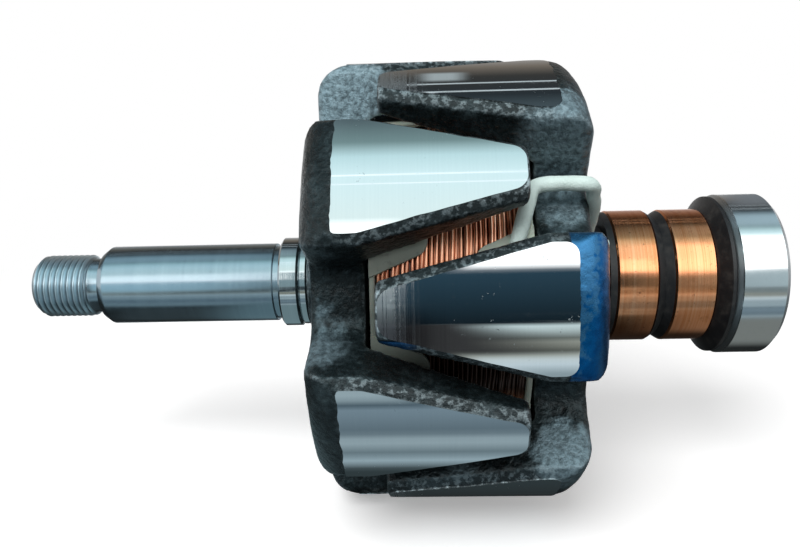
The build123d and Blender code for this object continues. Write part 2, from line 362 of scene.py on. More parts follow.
def skinFinish():
    sheet = Finish("forgedSkin")
    wave = sheet.grain(0.16, 4, 0.6)
    scale = sheet.grain(0.85, 2, 0.5)
    fine = sheet.grain(3.0, 3, 0.6)
    hammer = sheet.grain(0.36, 2, 0.5)
    mottle = scale * 0.6 + fine * 0.4
    skin = sheet.ramp(wave * 0.6 + scale * 0.4, (0.36, 0.52, 0.68), pole["skin"])
    # places blasted to a pale frost at random, and listed spots painted pale as a sheen where light falls
    # on the lobes
    frostAndSheen = sheet.grain(0.045, 2).step(0.6, 0.75) * 0.4
    for x, radius, angle, size, strength in pole["sheenSpots"]:
        far = sheet.farFrom(sheet.spot, around(x, radius, math.radians(angle)))
        far = far + 6 * (hammer - 0.5)
        frostAndSheen = frostAndSheen.most(strength * (1 - far.step(size * 0.72, size)))
    frostAndSheen = frostAndSheen * (0.35 + 0.65 * mottle.step(0.34, 0.64))
    skin = sheet.blend(frostAndSheen, skin, pole["frostAndSheen"])
    # ridges and high spots painted bright, a painted highlight where light catches them
    ridge = sheet.node("ShaderNodeNewGeometry", out="Pointiness").step(*pole["ridge"])
    ridgeHighlight = ridge * (0.2 + 0.8 * mottle.step(0.42, 0.62))
    skin = sheet.blend(ridgeHighlight * 0.55, skin, pole["highlightTint"])
    # bevels beside the ground faces rubbed grey, and brighter on their ridges as a painted highlight
    rim = sheet.radius.step(*pole["rim"])
    rim = rim * (1 - abs(sheet.x - pole["centre"]).step(*pole["rimReach"]))
    wornAndGlint = rim * (0.08 + 0.92 * (scale * 0.8 + fine * 0.2).step(0.47, 0.6)) * (0.4 + 0.6 * ridge)
    skin = sheet.blend(wornAndGlint * 0.8, skin, pole["rubbedAndGlint"])
    # blue brushed round the rim of one lobe, thin beside the ground face
    start = pole["blueStart"]
    brush = sheet.grain(0.3, 3, 0.6)
    away = abs(sheet.turn - pole["blueLobe"]) + 3.0 * brush
    blue = 1 - away.step(pole["blueHalf"], pole["blueHalf"] + 2.0)
    blue = blue * sheet.x.step(start - 1.4, start - 0.9)
    blue = blue * (sheet.radius + 2.0 * brush).step(*pole["blueRadius"])
    place, half, end, depth = pole["smear"]
    smear = (1 - abs(sheet.turn - place).step(half * 0.6, half)) * (1 - sheet.x.step(end - 6, end))
    blue = blue.most(smear * sheet.radius.step(*depth) * 0.85)
    # the blue is paler near the ground face and toward the top of the lobe: partly brushed thin, partly a
    # painted highlight from above, with painted shade on the darker far edge
    thinAndLit = scale * 0.45 + brush * 0.55 - 0.055 * (sheet.x - start) + 0.012 * sheet.turn
    thinAndLit = thinAndLit.step(0.42, 0.56) * sheet.x.step(start - 6.3, start - 4.3)
    paint = sheet.ramp(wave * 0.5 + brush * 0.5, (0.35, 0.5, 0.75), pole["blue"])
    paint = sheet.blend(thinAndLit * 0.55, paint, pole["thinLitBlue"])
    relief = (0.5 * scale + 0.35 * hammer + 0.15 * fine) * (1 - 0.85 * blue)
    return sheet.lay(
        Base_Color=sheet.blend(blue, skin, paint),
        Roughness=0.2 + 0.18 * fine + 0.16 * frostAndSheen,
        Metallic=0.45 - 0.3 * frostAndSheen + 0.5 * blue + 0.3 * wornAndGlint,
        Specular_IOR_Level=0.42,
        Normal=sheet.bump(relief, 0.7),
    )


# ground faces: fine rings left by the wheel, rougher toward the tips, a few rust specks
ground = {
    "steel": ((0.66, 0.69, 0.7), (0.74, 0.76, 0.765)),
    "speck": (0.5, 0.53, 0.55),
    "rough": 0.02,
    "haze": (1.0, 14.0),  # mm from the middle toward the tip, where the haze begins and where it is full
    "hazeRough": 0.28,
    "darkTip": (0.1, 0.095, 0.115),  # darker along the lower side of one slip ring end tip
    "darkTipTurn": ((-20.0, -15.0), (5.5, 12.5)),  # degrees round from the front
    "darkTipAlong": (33.0, 44.0),
}


def groundFaceFinish(name, toward, haze):
    sheet = Finish(name)
    rings = sheet.grain(1.0, 3, 0.6, sheet.stretched(2.6, 0.03))
    lines = sheet.grain(1.0, 3, 0.7, sheet.stretched(2.2, 0.008))
    streaks = sheet.grain(1.0, 3, 0.6, sheet.stretched(0.02, 1.1)).step(0.5, 0.75)
    cloud = sheet.grain(0.1, 3, 0.6)
    smudge = sheet.grain(0.4, 4, 0.66).step(0.58, 0.78)
    specks = sheet.grain(1.15, 2, 0.6).step(0.69, 0.74) * sheet.grain(0.09, 1).step(0.45, 0.6)
    tip = ((sheet.x - pole["centre"]) * toward).step(*ground["haze"])
    hazed = tip * (tip * 0.3 + lines - 0.4).step(0.08, 0.36) * haze
    steel = sheet.blend(rings * 0.6 + cloud * 0.4, *ground["steel"])
    steel = sheet.blend(specks * 0.7, steel, ground["speck"])
    if toward < 0:
        # one slip ring end tip darker along its lower side
        darkTip = 1 - (sheet.x + 5 * (lines - 0.5)).step(*ground["darkTipAlong"])
        darkTip = darkTip * sheet.turn.within(*ground["darkTipTurn"])
        steel = sheet.blend(darkTip * 0.85, steel, ground["darkTip"])
    rough = ground["rough"] + 0.012 * cloud + ground["hazeRough"] * hazed + 0.3 * specks
    return sheet.lay(
        Base_Color=steel,
        Roughness=rough + 0.05 * streaks + 0.07 * smudge,
        Metallic=1.0,
        Normal=sheet.bump(rings, 0.0008),
    )


def groundFace(toward, angle, seed):
    # one finger's ground face as a fine grid on the cylinder, and the dark wall round its edge
    along, across = pole["grid"]
    start = -pole["rootFrom"]
    end = pole["tipFrom"]
    corner = pole["tipCorner"]
    root = pole["rootCorner"][toward]
    top = []
    for row in range(along + 1):
        # rows crowd toward both ends, so that their corners come out round
        part = (1 - math.cos(row / along * math.pi)) / 2
        for column in range(across + 1):
            side = 2 * column / across - 1
            wave = noise.noise(Vector((side * 3.1, seed, 1.0))) * 0.34
            wave += noise.noise(Vector((side * 11.0, seed, 5.0))) * 0.2
            place = start + wave * (1 - part) + (end - start) * part
            taper = min(max((place + pole["taperFrom"]) / (end + pole["taperFrom"]), 0), 1)
            half = pole["rootHalf"] + (pole["tipHalf"] - pole["rootHalf"]) * taper
            half += noise.noise(Vector((place * 0.22, side * 2.0, seed + 3.0))) * 0.16
            half -= cornerCut(place - end + corner, corner)
            half -= cornerCut(start + root - place, root)
            turn = math.radians(angle) + math.asin(side * half / pole["radius"])
            top.append(around(pole["centre"] + toward * place, pole["radius"], turn))
    top = np.array(top)
    rim = top[gridRim(along, across)]
    inward = 1 - pole["wallDepth"] / pole["radius"]
    sunk = rim * np.array([1, inward, inward])
    face = (top, turned(gridFaces(along, across), toward > 0))
    wall = (np.vstack([rim, sunk]), turned(hoops(2, len(rim)), toward < 0))
    return face, wall


def forgedBody(node, seed):
    # the solid as one fine even mesh, eased and roughened, kept just below the ground faces
    raw = bpy.data.objects.new(node + "_raw", bpy.data.objects[node].data.copy())
    bpy.context.scene.collection.objects.link(raw)
    remesh = raw.modifiers.new("even", "REMESH")
    remesh.mode = "VOXEL"
    remesh.voxel_size = pole["voxel"] * mm
    ease = raw.modifiers.new("ease", "SMOOTH")
    ease.factor = 0.5
    ease.iterations = pole["ease"]
    mesh = bpy.data.meshes.new_from_object(raw.evaluated_get(bpy.context.evaluated_depsgraph_get()))
    bpy.data.objects.remove(raw)
    count = len(mesh.vertices)
    spots = np.empty(count * 3, np.float32)
    facing = np.empty(count * 3, np.float32)
    mesh.vertices.foreach_get("co", spots)
    mesh.vertices.foreach_get("normal", facing)
    spots = spots.reshape(-1, 3) / mm
    facing = facing.reshape(-1, 3)
    for index in range(count):
        spot = Vector(spots[index]) + Vector((seed, 0, 0))
        lump = noise.noise(spot * 0.24) * 0.6 + noise.noise(spot * 0.7) * 0.4
        grit = noise.noise(spot * 1.5)
        drop = pole["lump"] * (0.5 + 0.5 * lump) + pole["grit"] * (0.5 + 0.5 * grit)
        spots[index] -= facing[index] * drop
    radius = np.hypot(spots[:, 1], spots[:, 2])
    shrink = np.minimum(1, (pole["radius"] - pole["under"]) / radius)
    spots[:, 1:] *= shrink[:, None]
    quads = [tuple(face.vertices) for face in mesh.polygons]
    bpy.data.meshes.remove(mesh)
    return spots, quads


def forgedPole(node, materials, toward, angle, seed):
    parts = [forgedBody(node, seed)]
    skins = [0] * len(parts[0][1])
    for finger in range(pole["fingers"]):
        turn = angle + finger * 360 / pole["fingers"]
        face, wall = groundFace(toward, turn, seed + finger * 4.7)
        parts += [face, wall]
        skins += [1] * len(face[1]) + [0] * len(wall[1])
    mesh = meshOf(node + "_forging", parts)
    piece = addPiece(node + "_forging", mesh, materials[0], node)
    mesh.materials.append(materials[1])
    mesh.polygons.foreach_set("material_index", skins)
    print(piece.name, len(mesh.polygons), "faces")


forgedSkin = skinFinish()
driveGround = groundFaceFinish("driveGroundFace", 1, 0.12)
slipGround = groundFaceFinish("slipGroundFace", -1, 1.0)
forgedPole("drive_end_claw_pole", (forgedSkin, driveGround), 1, 39.5, 11.0)
forgedPole("slip_ring_end_claw_pole", (forgedSkin, slipGround), -1, 9.5, 47.0)
dress("pole_core", forgedSkin)

# field coil: wound turns of enamelled wire over an under-layer painted dark as shade, with painted shade at
# places round it
winding = {
    "start": 28.25,
    "end": 58.75,
    "outer": 38.95,
    "wire": 0.46,  # radius
    "wireSides": 6,
    "turns": (30, 29),
    "steps": 110,  # points a turn
    "layerStep": 1.7,  # wire radii from one layer to the next
    "wander": 0.5,
    "sink": 0.85,
    "barrelDepth": 4.2,  # wire radii from the outside to the under-layer
    "barrelSides": 96,
    "barrelOver": 0.4,  # how far it runs past the turns
    "shadedTurns": (-10.0, 112.0, -128.0),  # degrees round where shade is painted dark on the coil, and on the bobbin's drive half
    "shadedHalf": 20.0,
    "coilShade": (0.035, 0.012, 0.007),
    "copper": ((0.3, 0.09, 0.045), (0.8, 0.38, 0.23), (0.98, 0.66, 0.48)),
    "deepShade": (0.04, 0.012, 0.006),
    "deepShadeRadius": (36.9, 38.2),
}


def wireFinish():
    sheet = Finish("enamelledWire")
    strand = sheet.grain(1.0, 2, 0.5, sheet.stretched(1.1, 0.05))
    smudge = sheet.grain(0.2, 3, 0.6)
    tint = sheet.ramp(strand * 0.7 + smudge * 0.3, (0.36, 0.53, 0.72), winding["copper"])
    # painted shade at three places round the coil, one of them the lower gap under the fingers
    for place in winding["shadedTurns"]:
        off = abs(sheet.turn - place) + 8 * (smudge - 0.5)
        shadeMask = 1 - off.step(winding["shadedHalf"] * 0.6, winding["shadedHalf"])
        tint = sheet.blend(shadeMask * (0.9 + 0.1 * strand), tint, winding["coilShade"])
    # the deepest wire and the under-layer painted near black as shade
    return sheet.lay(
        Base_Color=sheet.blend(sheet.radius.step(*winding["deepShadeRadius"]), winding["deepShade"], tint),
        Roughness=0.24 + 0.16 * smudge,
        Metallic=0.9,
        Coat_Weight=0.35,
        Coat_Roughness=0.12,
    )


def woundCoil():
    start = winding["start"]
    end = winding["end"]
    wire = winding["wire"]
    parts = []
    for layer, turns in enumerate(winding["turns"]):
        count = turns * winding["steps"]
        pitch = (end - start) / turns
        middle = winding["outer"] - wire * (1 + winding["layerStep"] * layer)
        points = np.empty((count, 3))
        for index, place in enumerate(np.linspace(0, turns, count)):
            angle = place * 2 * math.pi
            whole = math.floor(place)
            ease = place - whole
            near = noise.noise(Vector((whole * 7.3, layer * 5.1, 2.2)))
            after = noise.noise(Vector((whole * 7.3 + 7.3, layer * 5.1, 2.2)))
            slack = near + (after - near) * ease
            bend = Vector((math.cos(angle) * 1.6, math.sin(angle) * 1.6, whole * 3.1 + ease))
            x = start + place * pitch + winding["wander"] * (0.8 * slack + 0.9 * noise.noise(bend))
            dip = noise.noise(Vector((place * 0.9, layer * 9.0, 4.0)))
            radius = middle - winding["sink"] * (0.5 + 0.5 * dip)
            points[index] = around(min(max(x, start), end), radius, angle)
        parts.append(tube(points, [(wire, wire)] * count, winding["wireSides"]))
    # the under-layer, a plain barrel that closes the gaps, painted near black as the shade between the
    # turns
    barrel = winding["outer"] - wire * winding["barrelDepth"]
    sides = winding["barrelSides"]
    over = winding["barrelOver"]
    rims = [ringOf(x, barrel, sides) for x in (start - over, end + over)]
    parts.append((np.vstack(rims), turned(hoops(2, sides), True)))
    mesh = meshOf("wound_coil", parts)
    addPiece("wound_coil", mesh, wireFinish(), "field_coil")
    print("coil wound,", len(mesh.polygons), "faces")


woundCoil()

# shaft: ground seats, a true thread and its relief
shaft = {
    "start": -62.2,
    "end": 121.7,
    "threadEnd": -47.9,
    "pitch": 1.5,
    "crest": 8.0,
    "root": 7.1,
    "crestFlat": 0.12,  # shares of half a pitch
    "flank": 0.8,
    "nose": 6.6,  # radius where the thread's chamfer starts
    "noseRise": 0.9,
    "runOut": 7.0,
    "runOutRise": 1.4,
    "sides": 144,
    "rowsPerPitch": 12,
    # the lathe's centre hole in each end, as depths and radii
    "centreHole": ((2.6, 0.6), (1.5, 0.75), (1.4, 0.8), (0.1, 2.1), (0.0, 2.25)),
    # the plain part as places along the shaft and radii
    "plain": (
        (-47.7, 7.0), (-44.75, 7.0), (-44.5, 7.25), (-44.5, 8.8), (-42.85, 9.96), (-42.6, 10.0),
        (-30.0, 10.0), (-15.0, 10.0), (-0.15, 10.0), (0.0, 9.85), (0.0, 9.5), (0.1, 9.4), (1.6, 9.4),
        (1.7, 9.5), (1.7, 10.0), (78.1, 10.0), (78.1, 9.5), (109.7, 9.5), (109.7, 8.5), (120.6, 8.5),
        (120.8, 8.4), (121.6, 7.6), (121.7, 7.4),
    ),
    "steel": ((0.28, 0.36, 0.41), (0.42, 0.51, 0.56)),
    "thread": (0.68, 0.8, 0.86),
    "threadFade": (-48.2, -47.4),
    "rootShade": (0.17, 0.2, 0.225),
    "rootShadeRadius": (7.1, 7.6),
    "rough": 0.1,
    "haze": 0.22,
    "edge": 28,  # degrees beyond which an edge stays sharp
}


def groundFinish(name, tones, roughness, haze):
    sheet = Finish(name)
    rings = sheet.grain(1.0, 3, 0.6, sheet.stretched(4.5, 0.05))
    bands = sheet.grain(1.0, 2, 0.5, sheet.stretched(0.35, 0.01))
    smear = sheet.grain(0.16, 3, 0.6)
    spots = sheet.grain(1.4, 3, 0.7).step(0.66, 0.76)
    steel = sheet.blend(rings * 0.5 + bands * 0.5, *tones)
    steel = sheet.blend(spots * 0.6, steel, tuple(tone * 0.45 for tone in tones[0]))
    return sheet, steel, roughness + haze * (0.4 * bands + 0.35 * smear + 0.25 * rings), rings


def shaftFinish():
    sheet, steel, rough, rings = groundFinish(
        "groundShaft", shaft["steel"], shaft["rough"], shaft["haze"]
    )
    thread = 1 - sheet.x.step(*shaft["threadFade"])
    # the thread's roots painted darker as shade
    rootShade = thread * (1 - sheet.radius.step(*shaft["rootShadeRadius"]))
    steel = sheet.blend(thread * 0.8, steel, shaft["thread"])
    return sheet.lay(
        Base_Color=sheet.blend(rootShade * 0.7, steel, shaft["rootShade"]),
        Roughness=rough + 0.12 * thread,
        Metallic=1.0,
        Normal=sheet.bump(rings, 0.004),
    )


def threadedShaft():
    sides = shaft["sides"]
    start = shaft["start"]
    turn = np.linspace(0, 1, sides, endpoint=False)
    rounds = [(start + deep, radius) for deep, radius in shaft["centreHole"]]
    rounds.append((start, shaft["nose"]))
    depth = shaft["crest"] - shaft["root"]
    step = shaft["pitch"] / shaft["rowsPerPitch"]
    for x in np.arange(start + 0.1, shaft["threadEnd"] - 0.05, step):
        phase = ((x - start) / shaft["pitch"] - turn) % 1
        cut = np.clip((np.abs(2 * phase - 1) - shaft["crestFlat"]) / shaft["flank"], 0, 1)
        chamfer = shaft["nose"] + (x - start) * shaft["noseRise"]
        runOut = shaft["runOut"] + (shaft["threadEnd"] - x) * shaft["runOutRise"]
        rounds.append((x, np.minimum(shaft["crest"] - depth * cut, min(chamfer, runOut))))
    rounds += shaft["plain"]
    rounds += [(shaft["end"] - deep, radius) for deep, radius in reversed(shaft["centreHole"])]
    points = np.vstack([ringOf(x, radius, sides) for x, radius in rounds])
    faces = turned(hoops(len(rounds), sides) + caps(len(rounds), sides), True)
    mesh = meshOf("threaded_shaft", [(points, faces)])
    addPiece("threaded_shaft", mesh, shaftFinish(), "shaft")
    mesh.set_sharp_from_angle(angle=math.radians(shaft["edge"]))
    print("shaft turned,", len(mesh.polygons), "faces")


threadedShaft()

# spacer collar and washer: brighter turned steel
collar = {"steel": ((0.5, 0.54, 0.55), (0.68, 0.72, 0.73)), "rough": 0.05, "haze": 0.07}


def collarFinish():
    sheet, steel, rough, rings = groundFinish(
        "turnedCollar", collar["steel"], collar["rough"], collar["haze"]
    )
    return sheet.lay(Base_Color=steel, Roughness=rough, Metallic=1.0, Normal=sheet.bump(rings, 0.006))


turnedCollar = collarFinish()
dress("drive_end_spacer_collar", turnedCollar)
dress("drive_end_washer", turnedCollar)
print("collar and washer dressed")

# bobbin: pale sage nylon, a little soiled near the coil, with painted shade on its drive half below the
# coil's shaded places
bobbin = {
    "pale": (0.62, 0.7, 0.6),
    "shade": (0.44, 0.5, 0.42),
    "soil": (0.1, 0.1, 0.08),
    "bobbinShade": (0.05, 0.062, 0.055),  # painted shade down the drive half, below where shade is painted on the coil
    "bobbinShadeHalf": (14.0, 40.0),  # degrees
    "outer": 17.0,  # from the middle of the pack out to the flange's outside
    "wall": 1.2,
    "flange": 39.6,
    "bore": 22.2,
    "edge": ((0.0, 0.35), (0.1, 0.1), (0.35, 0.0)),  # eased rim, as steps in from the side and the top
    "sides": 144,
    "grid": (18, 24),  # quads along and across a petal
    "petalReach": 12.2,  # from the flange's outside
    "petalFloor": 39.2,
    "rootHalf": 13.6,
    "tipHalf": 8.6,
    "upperExtra": 1.9,  # more width on the side that turns up
    "corner": 2.2,
    "thinEdge": 0.55,  # share of the thickness lost at a petal's edge
    "offset": 2.6,  # degrees that each half sits round from its fingers
    "sharp": 50,  # degrees beyond which an edge stays sharp
}


def bobbinFinish():
    sheet = Finish("sageNylon")
    cloud = sheet.grain(0.25, 3, 0.6)
    soil = sheet.grain(0.7, 4, 0.65).step(0.56, 0.75)
    tint = sheet.blend(cloud, bobbin["shade"], bobbin["pale"])
    tint = sheet.blend(soil * 0.45, tint, bobbin["soil"])
    driveHalf = 1 - sheet.x.step(pole["centre"] - 2, pole["centre"] + 2)
    # painted shade on the drive half, below the coil's painted shade
    for place in winding["shadedTurns"]:
        run = driveHalf * (1 - abs(sheet.turn - place).step(*bobbin["bobbinShadeHalf"]))
        tint = sheet.blend(run * 0.85, tint, bobbin["bobbinShade"])
    return sheet.lay(
        Base_Color=tint,
        Roughness=0.42 + 0.2 * cloud,
        Subsurface_Weight=0.08,
        Subsurface_Scale=0.001,
        Normal=sheet.bump(sheet.grain(3.0, 2), 0.03),
    )


def bobbinPetal(toward, angle, seed):
    # one rounded flap over the coil, as a closed shell
    along, across = bobbin["grid"]
    reach = bobbin["petalReach"]
    thick = bobbin["wall"] / 2
    shell = {1: [], -1: []}
    for row in range(along + 1):
        part = math.sin(row / along * math.pi / 2)
        place = reach * part
        for column in range(across + 1):
            side = 2 * column / across - 1
            half = bobbin["rootHalf"] + (bobbin["tipHalf"] - bobbin["rootHalf"]) * part
            half += 0.3 * noise.noise(Vector((place * 0.3, math.copysign(2.0, side), seed)))
            half += bobbin["upperExtra"] * max(side * toward, 0)
            half -= cornerCut(place - reach + bobbin["corner"], bobbin["corner"])
            edge = max(abs(side) ** 14, part ** 30)
            bow = 0.16 * noise.noise(Vector((place * 0.16, side * 1.3, seed + 9.0)))
            x = pole["centre"] + toward * (place - bobbin["outer"])
            for face in (1, -1):
                radius = bobbin["petalFloor"] + thick + bow
                radius += face * thick * (1 - bobbin["thinEdge"] * edge)
                turn = math.radians(angle) + math.asin(side * half / radius)
                shell[face].append(around(x, radius, turn))
    top = gridFaces(along, across)
    count = len(shell[1])
    under = [tuple(count + corner for corner in quad[::-1]) for quad in top]
    rim = gridRim(along, across)
    walls = []
    for corner, following in zip(rim, rim[1:] + rim[:1]):
        walls.append((corner, count + corner, count + following, following))
    return np.array(shell[1] + shell[-1]), turned(top + under + walls, toward > 0)


def bobbinHalf(name, node, material, toward, angle, seed):
    outer = pole["centre"] - toward * bobbin["outer"]
    inner = outer + toward * bobbin["wall"]
    # the flange's section, with its rim eased
    section = [(outer, bobbin["bore"])]
    section += [(outer + toward * aside, bobbin["flange"] - down) for aside, down in bobbin["edge"]]
    for aside, down in reversed(bobbin["edge"]):
        section.append((inner - toward * aside, bobbin["flange"] - down))
    section.append((inner, bobbin["bore"]))
    sides = bobbin["sides"]
    rounds = np.vstack([ringOf(x, radius, sides) for x, radius in section])
    parts = [(rounds, turned(hoops(len(section), sides, loop=True), toward > 0))]
    for finger in range(pole["fingers"]):
        turn = angle + finger * 360 / pole["fingers"] - toward * bobbin["offset"]
        parts.append(bobbinPetal(toward, turn, seed + finger * 3.7))
    mesh = meshOf(name, parts)
    addPiece(name, mesh, material, node)
    mesh.set_sharp_from_angle(angle=math.radians(bobbin["sharp"]))
    print(name, "moulded,", len(mesh.polygons), "faces")


sageNylon = bobbinFinish()
bobbinHalf("drive_bobbin", "drive_end_bobbin_half", sageNylon, 1, 39.5, 3.0)
bobbinHalf("slip_ring_bobbin", "slip_ring_end_bobbin_half", sageNylon, -1, 9.5, 29.0)

# hub and dust collar: black moulding, dusty in patches
moulding = {"black": (0.008, 0.008, 0.009), "dust": (0.035, 0.033, 0.031)}


def mouldingFinish():
    sheet = Finish("blackMoulding")
    dust = sheet.grain(0.35, 4, 0.65)
    return sheet.lay(
        Base_Color=sheet.blend(dust.step(0.45, 0.8), moulding["black"], moulding["dust"]),
        Roughness=0.34 + 0.22 * dust,
        Normal=sheet.bump(sheet.grain(3.4, 2), 0.03),
    )


blackMoulding = mouldingFinish()
dress("slip_ring_hub", blackMoulding)
dress("dust_collar", blackMoulding)
print("hub and dust collar dressed")

# slip rings: copper turned and polished, browner in bands
slipRing = {
    "tones": ((0.74, 0.24, 0.09), (0.88, 0.36, 0.17), (0.97, 0.48, 0.27)),
    "brown": (0.3, 0.09, 0.03),
    "nick": (0.16, 0.045, 0.02),
}


def ringFinish():
    sheet = Finish("turnedCopper")
    lines = sheet.grain(1.0, 3, 0.6, sheet.stretched(3.6, 0.03))
    bands = sheet.grain(1.0, 2, 0.5, sheet.stretched(0.5, 0.012))
    cloud = sheet.grain(0.22, 3, 0.6)
    nicks = sheet.grain(1.3, 3, 0.7).step(0.64, 0.7)
    tint = sheet.ramp(lines * 0.55 + bands * 0.45, (0.3, 0.5, 0.72), slipRing["tones"])
    tint = sheet.blend(cloud.step(0.55, 0.75) * 0.35, tint, slipRing["brown"])
    return sheet.lay(
        Base_Color=sheet.blend(nicks * 0.7, tint, slipRing["nick"]),
        Roughness=0.1 + 0.06 * lines + 0.08 * cloud,
        Metallic=1.0,
        Normal=sheet.bump(lines, 0.006),
    )


turnedCopper = ringFinish()
dress("inner_slip_ring", turnedCopper)
dress("outer_slip_ring", turnedCopper)
print("slip rings dressed")

# rear bearing: polished outside, greyer chamfers, rubber seals
bearing = {
    "steel": ((0.66, 0.68, 0.69), (0.74, 0.76, 0.77)),
    "rough": 0.09,
    "haze": 0.1,
    "grey": (0.42, 0.44, 0.45),
    "chamfer": (19.75, 19.95),  # radii from grey to polished
    "rubber": ((0.014, 0.014, 0.015), (0.035, 0.034, 0.033)),
}


def raceFinish():
    sheet, steel, rough, rings = groundFinish(
        "polishedRace", bearing["steel"], bearing["rough"], bearing["haze"]
    )
    edge = 1 - sheet.radius.step(*bearing["chamfer"])
    return sheet.lay(
        Base_Color=sheet.blend(edge * 0.7, steel, bearing["grey"]),
        Roughness=rough + 0.18 * edge,
        Metallic=1.0,
        Normal=sheet.bump(rings, 0.003),
    )


def sealFinish():
    sheet = Finish("sealRubber")
    cloud = sheet.grain(0.5, 3, 0.6)
    return sheet.lay(
        Base_Color=sheet.blend(cloud, *bearing["rubber"]),
        Roughness=0.5 + 0.2 * cloud,
        Normal=sheet.bump(sheet.grain(4.0, 2), 0.02),
    )


polishedRace = raceFinish()
dress("bearing_inner_ring", polishedRace)
dress("bearing_outer_ring", polishedRace)
sealRubber = sealFinish()
dress("bearing_inboard_seal", sealRubber)
dress("bearing_outboard_seal", sealRubber)
print("bearing dressed")

# sleeved leads: pale woven sleeving, slightly flattened, from the coil to the hub
lead = {
    # place along the shaft, radius, angle round from the front
    "route": (
        (56.4, 41.0, 23.4), (57.6, 41.8, 30.0), (59.6, 41.6, 38.5), (60.6, 41.4, 43.0), (63.5, 41.3, 44.3),
        (69.8, 41.2, 44.3), (72.9, 40.8, 44.3), (73.9, 39.2, 44.2), (74.0, 36.8, 44.0), (75.1, 33.8, 43.8),
        (75.5, 20.5, 43.8), (75.9, 15.5, 44.3), (81.6, 15.4, 44.3),
    ),
    "steps": 24,
    "sides": 20,
    "half": (1.5, 1.65),
    "pressed": 0.78,  # width left where it lies down the pole's face
    "pressedFrom": 72.5,
    "pressedOver": 1.5,
    "pale": (0.79, 0.96, 0.92),
    "shade": (0.6, 0.75, 0.7),
}


def sleeveFinish():
    sheet = Finish("paleSleeving")
    cloud = sheet.grain(0.4, 3, 0.6)
    weave = sheet.node("ShaderNodeTexVoronoi", {}, {"Vector": sheet.spot, "Scale": 2.6})
    return sheet.lay(
        Base_Color=sheet.blend(cloud * 0.7 + weave * 0.3, lead["pale"], lead["shade"]),
        Roughness=0.5 + 0.15 * cloud,
        Normal=sheet.bump(weave, 0.06),
    )


def leadSleeve(name, node, material, halfTurn):
    curve = bpy.data.curves.new(name + "_route", "CURVE")
    curve.dimensions = "3D"
    spline = curve.splines.new("NURBS")
    spline.points.add(len(lead["route"]) - 1)
    for point, (x, radius, angle) in zip(spline.points, lead["route"]):
        point.co = (*around(x, radius, math.radians(angle + halfTurn)), 1)
    spline.order_u = 3
    spline.use_endpoint_u = True
    spline.resolution_u = lead["steps"]
    route = bpy.data.objects.new(name + "_route", curve)
    bpy.context.scene.collection.objects.link(route)
    bpy.context.view_layer.update()
    line = bpy.data.meshes.new_from_object(route.evaluated_get(bpy.context.evaluated_depsgraph_get()))
    points = np.array([vertex.co[:] for vertex in line.vertices])
    bpy.data.objects.remove(route)
    run = np.gradient(points, axis=0)
    run /= np.linalg.norm(run, axis=1)[:, None]
    # one sideways direction carried along the run, so that the sleeve doesn't twist
    sideways = np.empty_like(run)
    held = np.array([1.0, 0.0, 0.0])
    for index, direction in enumerate(run):
        held = held - direction * held.dot(direction)
        held /= np.linalg.norm(held)
        sideways[index] = held
    high, wide = lead["half"]
    radii = []
    for point in points:
        pinch = noise.noise(Vector(point) * 0.35)
        down = min(max((point[0] - lead["pressedFrom"]) / lead["pressedOver"], 0), 1)
        press = down * (1 - lead["pressed"])
        radii.append((high * (1 + 0.1 * pinch), wide * (1 - 0.08 * pinch) * (1 - press)))
    mesh = meshOf(name, [tube(points, radii, lead["sides"], sideways)])
    addPiece(name, mesh, material, node)
    print(name, "laid,", len(points), "places")


paleSleeving = sleeveFinish()
leadSleeve("front_lead", "front_lead_sleeve", paleSleeving, 0)
leadSleeve("rear_lead", "rear_lead_sleeve", paleSleeving, 180)

